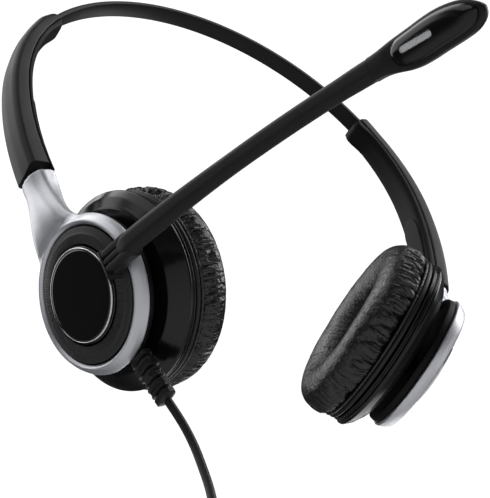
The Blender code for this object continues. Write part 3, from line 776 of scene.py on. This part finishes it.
def build_cup(word):
    cup, body = EAR_PLACE[word], word + "_cup"
    turned(word + "_shell_back", rounded(SHELL, 0.3), cup, "shell", body,
           [word + "_cup_shell"], 160, None, 30)
    turned(word + "_cushion_flange", rounded(FLANGE, 0.3), cup, "plastic", body,
           [word + "_cushion_ring"], 160)

    def cord_wrap(a, radius, w):
        out = 0.07 * math.sin(a * 110) * smooth(28.2, 28.9, radius)
        return radius + out, w

    turned(word + "_piping", rounded(PIPING, 0.3, 2), cup, "leather", body, (),
           440, cord_wrap, 180)
    build_cushion(word, 3.7 if word == "left" else 11.2)
    for name, material in (("driver_magnet", "steel"), ("driver_frame", "plastic"),
                           ("driver_diaphragm", "film"), ("baffle", "plastic"),
                           ("pad_cloth", "cloth")):
        paint(word + "_" + name, material)
    paint(word + "_ball_stud", "steel")
    paint(word + "_ball_socket", "plastic")
    paint(word + "_slider_stop", "plastic")


def paint(name, material):
    """A CAD node that keeps its shape gets its finish."""
    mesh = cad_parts[name].data
    mesh.materials.clear()
    mesh.materials.append(MATERIALS[material])


# ---- boom ----

BOOM_START, BOOM_W = (22.0, -5.0), 5.6
BOOM_HEADING, BOOM_BEND, BOOM_LENGTH = -14.0, -10.0, 144.0
BOOM_SPLIT, BEND_REACH, MIC_FROM = 52.0, 34, 109.0
SLOT_FROM, SLOT_LENGTH, SLOT_HALF = 120.2, 10.6, 0.95


def boom_station(s):
    bend = math.radians(BOOM_BEND) / BOOM_LENGTH
    first = math.radians(BOOM_HEADING)
    heading = first + bend * s
    x = BOOM_START[0] + (math.sin(heading) - math.sin(first)) / bend
    y = BOOM_START[1] - (math.cos(heading) - math.cos(first)) / bend
    return Vector((x, y, BOOM_W)), heading


def on_boom(s, u, w):
    """A point beside the boom's line: s along it, u across it, w outwards."""
    point, heading = boom_station(s)
    side = Vector((-math.sin(heading), math.cos(heading), 0))
    return CUP_PLACE["left"] @ (point + side * u + Vector((0, 0, w)))


def boom_section(s):
    """Flat on its outer side, chamfered below, and wider where it starts."""
    wide = blend(1.25, 1.03, smooth(8, 60, s)) + 0.1 * smooth(95, 109, s)
    outline = ((2.75, 0.1), (2.4, 1.6), (1.6, 2.1), (-0.9, 2.15), (-2.0, 1.5), (-2.7, 0.35),
               (-2.62, 0.16), (-2.75, 0.0), (-2.3, -1.4), (-0.8, -2.1), (1.2, -2.05), (2.4, -1.4))
    return [(u * wide, w * (1 + (wide - 1) * 0.4)) for u, w in rounded(outline, 0.5, 3)]


def build_boom():
    """The boom's skin, a flat oval tube with a chamfered lower side and a fine parting line."""
    loops = []
    for i in range(65):
        s = blend(4.6, MIC_FROM, i / 64)
        start = 1 - smooth(4.6, 8.5, s)
        loops.append([
            on_boom(s, u * (1 - 0.25 * start), w * (1 - 0.3 * start)) for u, w in boom_section(s)
        ])
    skin = solid("boom_arm_skin", loops, "soft", None, ["boom_lower", "boom_upper"])
    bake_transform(skin)

    def block(name, start, end, half, low, high, cut, middle=0.0):
        """A bevelled bar along the boom. Its three sizes are given at its start and end."""
        loops = []
        for i in range(25):
            t = i / 24
            inset = cut * (max(0, 1 - t / 0.08) ** 2 + max(0, (t - 0.92) / 0.08) ** 2)
            h = blend(*half, t) - inset
            bottom, top = blend(*low, t) - BOOM_W + inset, blend(*high, t) - inset
            outline = ((h, bottom), (h, top - cut), (h - cut, top), (cut - h, top),
                       (-h, top - cut), (-h, bottom))
            loops.append([
                on_boom(blend(start, end, t), u + middle, w)
                for u, w in rounded(outline, cut * 0.5, 2)
            ])
        return solid(name, loops, "soft", "boom_base", (), angle=50)

    foot = block("boom_root_foot", -4.6, 7.2, (3.7, 2.6), (1.25, 2.4), (-0.7, -0.9), 0.6)
    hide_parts("boom_root")
    block("boom_root_plate", -4.9, -3.1, (4.4, 4.1), (1.3, 1.3), (0.4, 1.4), 0.4)
    for name, middle, half in (("upper", 2.25, 0.85), ("middle", 0.1, 0.75), ("lower", -1.9, 0.8)):
        block("boom_root_rib_" + name, -3.3, 9.5, (half, half * 1.25), (2.4, 2.4), (1.25, 1.9),
              0.3, middle)
    block("boom_root_web", -2.9, 8.0, (2.9, 3.2), (2.0, 2.2), (0.45, 0.9), 0.3)
    paint("boom_washer", "steel")


def capsule_outline(start, end, half, sides=18, squareness=0.72):
    """A long slot's outline, round at its start and a little squarer at its end."""
    points = []
    for i in range(sides + 1):
        a = math.pi / 2 + math.pi * i / sides
        points.append((start + half * (1 + math.cos(a)), half * math.sin(a)))
    for i in range(sides + 1):
        a = -math.pi / 2 + math.pi * i / sides
        x, y = math.cos(a), math.sin(a)
        x, y = abs(x) ** squareness, math.copysign(abs(y) ** squareness, y)
        points.append((end - half * (1 - x), half * y))
    return points


HEAD_STATIONS = (
    # along the boom, half width below and above its line, depth, height
    (109.0, 3.15, 3.15, 2.25, 2.2), (111.5, 3.2, 3.25, 2.25, 2.1), (114.0, 3.5, 3.6, 2.4, 1.9),
    (116.5, 4.1, 4.0, 2.75, 1.5), (119.5, 4.9, 4.3, 3.15, 1.2), (123.0, 5.4, 4.6, 3.4, 1.05),
    (127.0, 5.4, 5.0, 3.55, 1.05), (131.0, 5.15, 5.2, 3.6, 1.05), (135.0, 4.95, 4.95, 3.55, 1.05),
    (138.5, 4.7, 4.3, 3.4, 1.05), (141.0, 4.25, 3.4, 3.1, 1.05), (143.0, 3.4, 2.2, 2.6, 0.95),
    (144.4, 2.2, 1.1, 1.9, 0.7), (144.9, 1.0, 0.4, 1.0, 0.3),
)


def head_size(s):
    """The microphone head's two half widths, depth and height at s, smoothly interpolated."""
    table = HEAD_STATIONS
    for i in range(len(table) - 1):
        a, b = table[i], table[i + 1]
        if s <= b[0]:
            t = (s - a[0]) / (b[0] - a[0])
            before, after = table[max(0, i - 1)], table[min(len(table) - 1, i + 2)]
            result = []
            for k in (1, 2, 3, 4):
                m0 = (b[k] - before[k]) / (b[0] - before[0]) * (b[0] - a[0])
                m1 = (after[k] - a[k]) / (after[0] - a[0]) * (b[0] - a[0])
                result.append(a[k] * (2 * t**3 - 3 * t**2 + 1) + m0 * (t**3 - 2 * t**2 + t)
                              + b[k] * (3 * t**2 - 2 * t**3) + m1 * (t**3 - t**2))
            return result
    return table[-1][1:]


def build_microphone():
    """A smooth lower shell that grows out of the boom, and the glossy cover let into it."""
    loops = []
    for i in range(61):
        s = blend(MIC_FROM + 0.02, 144.9, (i / 60) ** 0.85)
        below, above, deep, high = head_size(s)
        section = []
        for k in range(28):
            a = 2 * math.pi * k / 28
            u, w = math.cos(a), math.sin(a)
            power = 0.8 if w < 0 else 0.62
            u = math.copysign(abs(u) ** power, u)
            w = math.copysign(abs(w) ** power, w)
            section.append(on_boom(s, (above if u > 0 else below) * u,
                                   (high if w > 0 else deep) * w))
        loops.append(section)
    solid("mic_shell", loops, "soft", "boom_tip", ["mic_housing"], angle=60)

    def outline(inset, w, tip=0.0):
        """The cover's outline, a little inside the head's, round at both ends."""
        first, last = 116.0 + inset, 144.0 - inset - tip
        lower, upper = [], []
        for i in range(31):
            s = blend(first, last, 0.5 - 0.5 * math.cos(math.pi * i / 30))
            start = math.sqrt(max(0, 1 - (1 - min(1, (s - first) / 3.4)) ** 2))
            end = max(0, 1 - (1 - min(1, (last - s) / 2.4)) ** 2.6) ** (1 / 2.6)
            below, above = head_size(s)[:2]
            lower.append((s, -max(0.2, below - 0.75 - inset) * start * end))
            upper.append((s, max(0.2, above - 0.75 - inset) * start * end))
        return [on_boom(s, u, w) for s, u in lower + upper[-2:0:-1]]

    cover = solid("mic_gloss_cover", [
        outline(0.5, 0.2), outline(0.25, 1.1), outline(0.2, 1.3), outline(0.3, 1.5),
        outline(0.5, 1.8), outline(0.8, 2.15), outline(1.2, 2.5, 0.2), outline(1.7, 2.8, 0.5),
        outline(2.3, 3.0, 0.8), outline(3.0, 3.13, 1.0), outline(3.6, 3.2, 1.2),
    ], "cover", "boom_tip", ["mic_cover"], angle=30)

    def slot(grow, w):
        shape = capsule_outline(SLOT_FROM - grow, SLOT_FROM + SLOT_LENGTH + grow, SLOT_HALF + grow)
        return [on_boom(s, u - 0.3, w) for s, u in shape]

    tool = solid("slot_tool", [slot(0.0, 2.2), slot(0.0, 2.9), slot(0.4, 3.6)], "gloss")
    baked(cover, ("BOOLEAN", {"object": tool, "operation": "DIFFERENCE", "solver": "EXACT"}))
    cover.data.set_sharp_from_angle(angle=math.radians(20))
    bpy.data.objects.remove(tool)
    bar = [slot(-0.03, 2.0), slot(-0.03, 2.75), slot(-0.15, 2.9)]
    solid("mic_grille_bar", bar, "grille", "boom_tip", ["mic_grille"])
    paint("mic_capsule", "steel")


# ---- lead ----

CORD_RADIUS = 1.3
RELIEF_W, RELIEF_TOP, RELIEF_TIP = -5.6, -23.3, -39.9
RELIEF_FLATNESS = 0.62
FIRST_BLOCK, BLOCK_PITCH, WINDOWED_BLOCKS = 2.6, 3.75, 3
COIL_CENTRE = (6.35, -264.0)
COIL_RADII = (18.15, 15.5, 12.85)
COIL_COLUMNS = (-2.65, 0.0, 2.65)
CORD_ROUTE = (
    (-24.3, -192.7), (-21.3, -197.1), (-18.75, -201.4), (-16.2, -207.0), (-14.2, -213.6),
    (-12.6, -220.6), (-11.8, -228.0), (-11.6, -236.0), (-11.7, -245.0), (-11.8, -253.9),
)
TAIL_Y, TAIL_LENGTH, PLUG_LENGTH = 6.9, 38.0, 34.0


def smooth_route(points, spacing):
    """Points about spacing apart on a Catmull-Rom curve through the route."""
    route = [Vector(p) for p in points]
    ends = [route[0] * 2 - route[1]] + route + [route[-1] * 2 - route[-2]]
    fine = []
    for a, b, c, d in zip(ends, ends[1:], ends[2:], ends[3:]):
        steps = max(1, round((c - b).length / spacing))
        for i in range(steps):
            t = i / steps
            fine.append((b * 2 + (c - a) * t + (a * 2 - b * 5 + c * 4 - d) * t**2
                         + (b * 3 - a - c * 3 + d) * t**3) / 2)
    return fine + [route[-1]]


def coil_points():
    """Nine turns wound side by side and in three layers, from the outside inwards."""
    order = []
    for layer, radius in enumerate(COIL_RADII):
        columns = COIL_COLUMNS if layer % 2 == 0 else COIL_COLUMNS[::-1]
        order += [(radius, y) for y in columns]
    points, per_turn = [], 40
    for turn, (radius, y) in enumerate(order):
        after = order[turn + 1] if turn + 1 < len(order) else (radius, y)
        for i in range(per_turn):
            t = i / per_turn
            shift = smooth(0.7, 1.0, t)
            r, across_y = blend(radius, after[0], shift), blend(y, after[1], shift)
            a = math.pi + 2 * math.pi * t
            points.append((COIL_CENTRE[0] + r * math.cos(a), CUP_BACK + across_y,
                           COIL_CENTRE[1] + r * math.sin(a)))
    return points


def lead_points():
    start = []
    for x, z in CORD_ROUTE:
        side = COIL_COLUMNS[0] * smooth(-205, -250, z)
        start.append((x, CUP_BACK + side, z))
    points = smooth_route(start, 2.0)
    points += [Vector((-11.8, CUP_BACK + COIL_COLUMNS[0], z)) for z in (-257.0, -260.5)]
    points += [Vector(p) for p in coil_points()]
    x = COIL_CENTRE[0] - COIL_RADII[-1]
    last = [(x, CUP_BACK + 2.65, -264.0), (x - 0.1, CUP_BACK + 4.0, -268.5), (x, TAIL_Y, -275.0),
            (x, TAIL_Y, -285.0), (x, TAIL_Y, -302.2)]
    return points + [Vector(p) for p in smooth_route(last, 2.2)]


def build_relief():
    """Strain relief: a collar and four blocks round a thinner core. All but the last block have
    windows, each turned a quarter from the one before."""
    cup = CUP_PLACE["left"]
    loops, steps, count = [], 64, 150
    length = RELIEF_TOP - RELIEF_TIP
    for i in range(count + 1):
        down = length * i / count
        along = down / length
        flat = blend(0.49, RELIEF_FLATNESS, smooth(2.0, 3.4, down))
        number, place = divmod(down - FIRST_BLOCK, BLOCK_PITCH)
        loop = []
        for k in range(steps):
            a = 2 * math.pi * k / steps
            x, y = math.cos(a), math.sin(a)
            box = (abs(x) ** 4 + abs(y) ** 4) ** -0.25
            if down < 0.7:
                radius = 2.2
            elif down < 2.3:
                radius = 4.0 * min(1.12, box)
            else:
                full = blend(4.1, 3.45, along) * min(1.12, box)
                block = smooth(0.35, 0.6, place) * (1 - smooth(3.4, 3.65, place))
                side = abs(x) if number % 2 else abs(y)
                window = smooth(0.35, 0.5, side) if number < WINDOWED_BLOCKS else 0.0
                window *= smooth(1.1, 1.35, place) * (1 - smooth(2.55, 2.8, place))
                radius = blend(2.3, full, block) - 1.0 * window * block
            radius = blend(radius, 1.9, smooth(0.965, 1.0, along))
            loop.append(cup @ Vector((radius * x, RELIEF_TOP - down,
                                      RELIEF_W + radius * flat * y)))
        loops.append(loop)
    return solid("relief_sleeve", loops, "rubber", "left_arm", ["strain_relief"],
                 angle=40)


def build_tie():
    """A hook-and-loop band closed round the coil."""
    loops, steps = [], 40
    inner, outer = COIL_RADII[-1] - 1.3, COIL_RADII[0] + 1.3
    middle, reach = (inner + outer) / 2, (outer - inner) / 2
    for z, grow in ((-2.9, 0.5), (-3.0, 0.75), (-2.9, 1.0), (2.9, 1.0), (3.0, 0.75), (2.9, 0.5)):
        loop = []
        for i in range(steps):
            a = 2 * math.pi * i / steps
            x, y = math.cos(a), math.sin(a)
            x, y = (math.copysign(abs(v) ** 0.45, v) for v in (x, y))
            loop.append((COIL_CENTRE[0] + middle + (reach + grow) * x,
                         CUP_BACK + (3.95 + grow) * y, COIL_CENTRE[1] + z))
        loops.append(loop)
    return solid("lead_tie", loops, "cloth", "left_arm", ["cord_tie"], True)


def build_plug():
    """Quick-disconnect plug: a tapered collar, a waisted grip with ridges and a flat front."""
    x, top = COIL_CENTRE[0] - COIL_RADII[-1], COIL_CENTRE[1] - TAIL_LENGTH - 0.3
    low = top - PLUG_LENGTH

    def box(half_x, half_y, z):
        outline = ((-half_x, -half_y), (half_x, -half_y), (half_x, half_y), (-half_x, half_y))
        cut = min(half_x, half_y) * 0.45
        return [(x + u, TAIL_Y + v, z) for u, v in rounded(outline, cut, 4)]

    loops = [box(1.75, 1.75, top), box(1.95, 1.95, top - 0.4), box(2.5, 2.35, top - 7.5),
             box(2.9, 2.5, top - 8.6), box(5.6, 3.5, top - 11.4), box(6.2, 3.8, top - 12.6)]
    for i in range(6):
        z = top - 15.0 - i * 1.8
        loops += [box(6.35, 3.9, z), box(6.0, 3.6, z - 0.35), box(6.0, 3.6, z - 0.8),
                  box(6.35, 3.9, z - 1.15)]
    loops += [box(6.6, 4.0, low + 4), box(6.4, 3.9, low + 1.0), box(6.0, 3.6, low)]
    body = solid("plug_shell", loops, "plastic", "left_arm", ["plug_body"],
                 angle=30)
    paint("plug_contacts", "brass")
    return [body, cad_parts["plug_contacts"]]


def build_lead():
    pieces = [build_relief(), build_tie()] + build_plug()
    points = lead_points()
    curve = bpy.data.curves.new("lead", "CURVE")
    curve.dimensions = "3D"
    curve.bevel_depth = CORD_RADIUS * MM
    curve.bevel_resolution = 4
    curve.use_fill_caps = True
    spline = curve.splines.new("POLY")
    spline.points.add(len(points) - 1)
    for spot, point in zip(spline.points, points):
        spot.co = (*(point * MM), 1.0)
    curve.materials.append(MATERIALS["rubber"])
    lead = bpy.data.objects.new("lead", curve)
    bpy.context.scene.collection.objects.link(lead)
    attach(lead, "left_arm")
    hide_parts("cord", "cord_coil", "cord_tail")


def build():
    add_camera()
    make_materials()
    add_stage()
    build_lead()
    build_bands()
    for word, side in SIDES.items():
        build_sleeve(word, side)
        build_liner(word, side)
        build_yoke(word, side)
        build_hub(word)
        build_cup(word)
    build_boom()
    build_microphone()
    bpy.context.scene.view_settings.view_transform = "Standard"


build()
